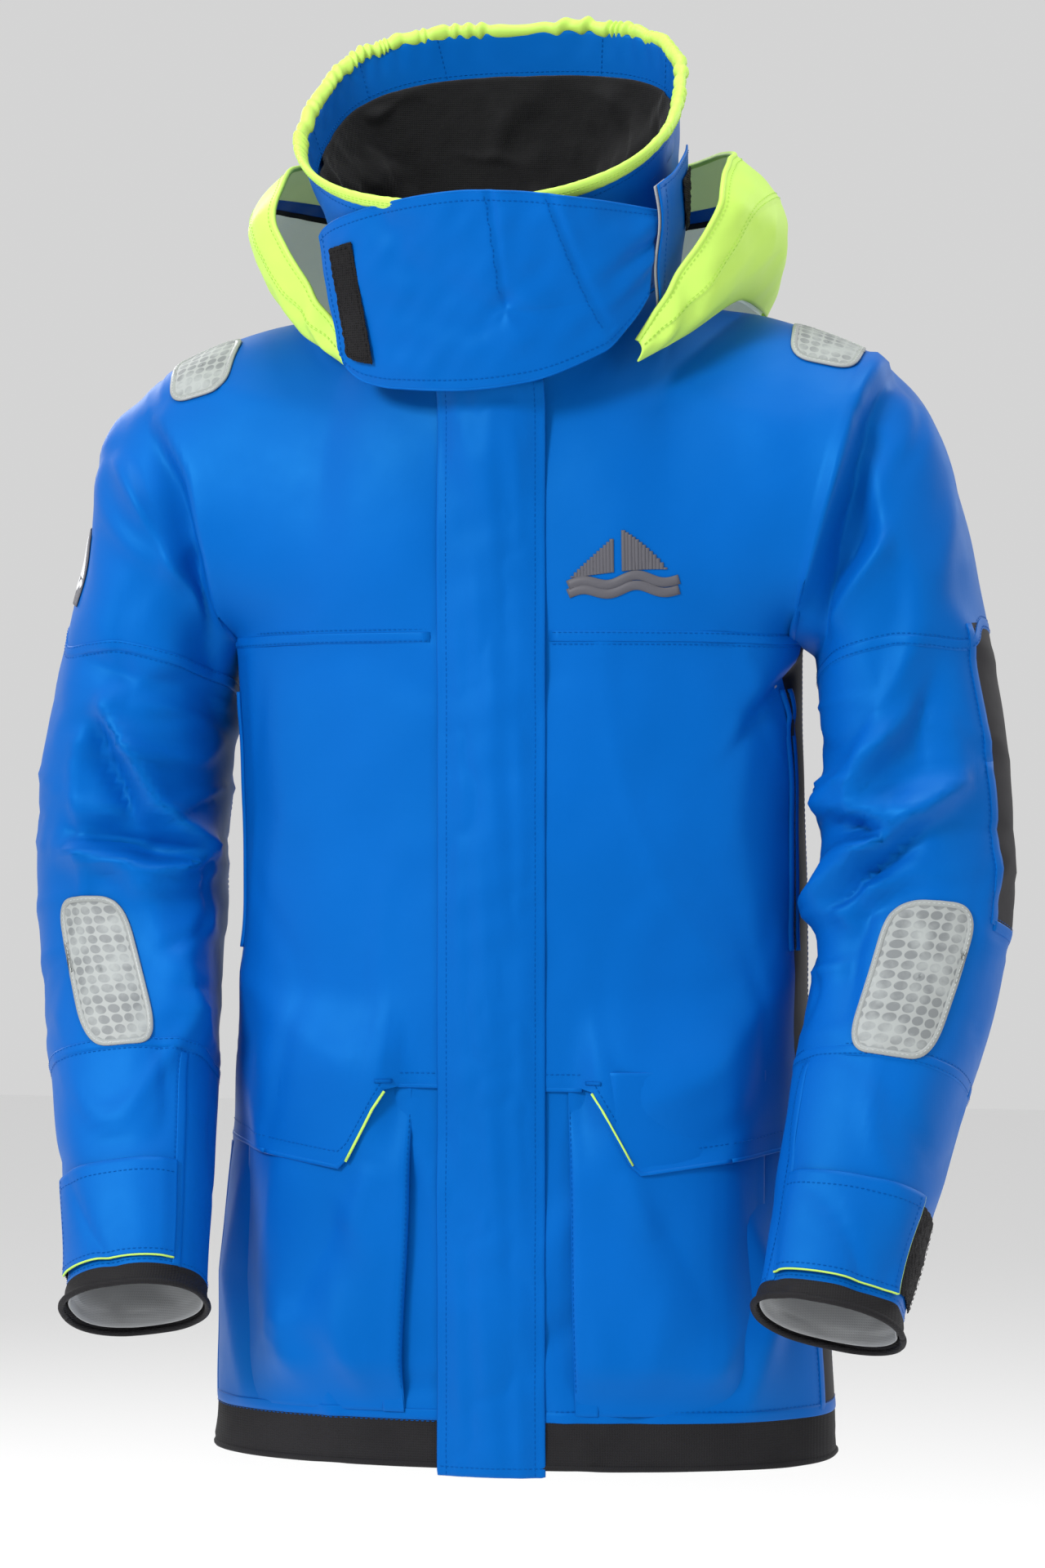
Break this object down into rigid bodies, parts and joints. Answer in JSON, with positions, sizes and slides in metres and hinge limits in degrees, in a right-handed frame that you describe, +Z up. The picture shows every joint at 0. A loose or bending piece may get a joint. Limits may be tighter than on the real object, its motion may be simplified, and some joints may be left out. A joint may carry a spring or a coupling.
{
  "type": "foul weather jacket",
  "caption": "Waterproof offshore sailing jacket with a tall fleece-lined collar, wrap-around face guard, stowed hood, storm flap over the front zip, cargo pockets and adjustable cuffs.",
  "frame": {"origin": "middle of the neck base between the shoulders, which is the middle of the line that the wearer's shoulders hold the jacket up by", "axes": "+X to the wearer's left, -Y to the front, +Z up"},
  "size_m": [0.676, 0.3657, 0.9873],
  "materials": {
    "blue_shell": "coated woven shell cloth, semi-matt",
    "black_shell": "coated woven shell cloth, matt",
    "hi_vis_shell": "fluorescent yellow coated cloth",
    "fleece": "brushed fleece",
    "lining": "smooth grey lining cloth",
    "reflective_tape": "silver reflective tape, satin",
    "hook_and_loop": "hook-and-loop tape, matt",
    "zip_plastic": "moulded zip coil, tape and slider",
    "print": "dark grey transfer patch"
  },
  "bodies": {
    "torso": {"back_panel": "blue_shell", "body_lining": "lining", "cargo_pocket_L": "blue_shell", "cargo_pocket_R": "blue_shell", "chest_emblem": "print", "collar_end_flap": "blue_shell", "collar_facing": "blue_shell", "collar_lining": "fleece", "collar_loop_tab": "hook_and_loop", "collar_rim": "hi_vis_shell", "collar_shell": "blue_shell", "front_panel_L": "blue_shell", "front_panel_R": "blue_shell", "hand_pocket_bag_L": "lining", "hand_pocket_bag_R": "lining", "hand_pocket_zip_L": "zip_plastic", "hand_pocket_zip_R": "zip_plastic", "hanger_loop": "black_shell", "hem_band_L": "black_shell", "hem_band_R": "black_shell", "hood_lining_L": "lining", "hood_lining_R": "lining", "hood_roll_L": "hi_vis_shell", "hood_roll_R": "hi_vis_shell", "inner_flap": "blue_shell", "shoulder_reflector_L": "reflective_tape", "shoulder_reflector_R": "reflective_tape", "side_panel_L": "black_shell", "side_panel_R": "black_shell", "yoke_back": "blue_shell", "yoke_front_L": "blue_shell", "yoke_front_R": "blue_shell", "zip_box": "zip_plastic", "zip_half_L": "zip_plastic", "zip_half_R": "zip_plastic"},
    "storm_flap": {"storm_flap": "blue_shell"},
    "zip_slider": {"zip_slider": "zip_plastic"},
    "zip_puller": {"zip_puller": "zip_plastic"},
    "face_guard": {"face_guard": "blue_shell", "face_guard_hook": "hook_and_loop"},
    "hood_pouch": {"hood_pouch": "hi_vis_shell"},
    "cargo_flap_L": {"cargo_flap_L": "blue_shell"},
    "hand_slider_L": {"hand_pocket_slider_L": "zip_plastic"},
    "upper_sleeve_L": {"upper_sleeve_L": "blue_shell"},
    "forearm_L": {"forearm_sleeve_L": "blue_shell", "cuff_band_L": "black_shell", "cuff_lining_L": "lining", "cuff_loop_patch_L": "hook_and_loop", "forearm_reflector_L": "reflective_tape"},
    "cuff_tab_L": {"cuff_tab_L": "blue_shell"},
    "cargo_flap_R": {"cargo_flap_R": "blue_shell"},
    "hand_slider_R": {"hand_pocket_slider_R": "zip_plastic"},
    "upper_sleeve_R": {"upper_sleeve_R": "blue_shell", "sleeve_badge": "print"},
    "forearm_R": {"forearm_sleeve_R": "blue_shell", "cuff_band_R": "black_shell", "cuff_lining_R": "lining", "cuff_loop_patch_R": "hook_and_loop", "forearm_reflector_R": "reflective_tape"},
    "cuff_tab_R": {"cuff_tab_R": "blue_shell"}
  },
  "joints": [
    {"name": "storm_flap_hinge", "type": "hinge", "parent": "torso", "child": "storm_flap", "pos_m": [0.0372, -0.1112, -0.4], "axis": [0, 0, 1], "range_deg": [0, 110]},
    {"name": "zip_slide", "type": "slide", "parent": "torso", "child": "zip_slider", "axis": [0, 0, -1], "range_m": [0, 0.655]},
    {"name": "zip_puller_swing", "type": "hinge", "parent": "zip_slider", "child": "zip_puller", "pos_m": [0, -0.1092, -0.0795], "axis": [0, 1, 0], "range_deg": [-35, 35]},
    {"name": "face_guard_hinge", "type": "hinge", "parent": "torso", "child": "face_guard", "pos_m": [0.093, -0.1171, -0.028], "axis": [0.1557, -0.0537, 0.9863], "range_deg": [0, 100]},
    {"name": "hood_lift", "type": "hinge", "parent": "torso", "child": "hood_pouch", "pos_m": [0, 0.141, 0.022], "axis": [1, 0, 0], "range_deg": [0, 110]},
    {"name": "cargo_flap_L_lift", "type": "hinge", "parent": "torso", "child": "cargo_flap_L", "pos_m": [0.11, -0.0997, -0.4555], "axis": [-0.9903, -0.139, 0], "range_deg": [0, 100]},
    {"name": "shoulder_L", "type": "hinge", "parent": "torso", "child": "upper_sleeve_L", "pos_m": [0.248, 0.005, -0.017], "axis": [0, -1, 0], "range_deg": [0, 75]},
    {"name": "elbow_L", "type": "hinge", "parent": "upper_sleeve_L", "child": "forearm_L", "pos_m": [0.2717, -0.082, -0.3655], "axis": [-1, 0, 0], "range_deg": [0, 80]},
    {"name": "cuff_tab_L_peel", "type": "hinge", "parent": "forearm_L", "child": "cuff_tab_L", "pos_m": [0.1958, -0.1594, -0.5912], "axis": [-0.0859, -0.4367, -0.8955], "range_deg": [0, 75]},
    {"name": "hand_zip_L", "type": "slide", "parent": "torso", "child": "hand_slider_L", "axis": [0, 0, -1], "range_m": [0, 0.12]},
    {"name": "cargo_flap_R_lift", "type": "hinge", "parent": "torso", "child": "cargo_flap_R", "pos_m": [-0.11, -0.0997, -0.4555], "axis": [-0.9903, 0.139, 0], "range_deg": [0, 100]},
    {"name": "shoulder_R", "type": "hinge", "parent": "torso", "child": "upper_sleeve_R", "pos_m": [-0.248, 0.005, -0.017], "axis": [0, 1, 0], "range_deg": [0, 75]},
    {"name": "elbow_R", "type": "hinge", "parent": "upper_sleeve_R", "child": "forearm_R", "pos_m": [-0.2717, -0.082, -0.3655], "axis": [-1, 0, 0], "range_deg": [0, 80]},
    {"name": "cuff_tab_R_peel", "type": "hinge", "parent": "forearm_R", "child": "cuff_tab_R", "pos_m": [-0.1958, -0.1594, -0.5912], "axis": [-0.0859, 0.4367, 0.8955], "range_deg": [0, 75]},
    {"name": "hand_zip_R", "type": "slide", "parent": "torso", "child": "hand_slider_R", "axis": [0, 0, -1], "range_m": [0, 0.12]}
  ]
}
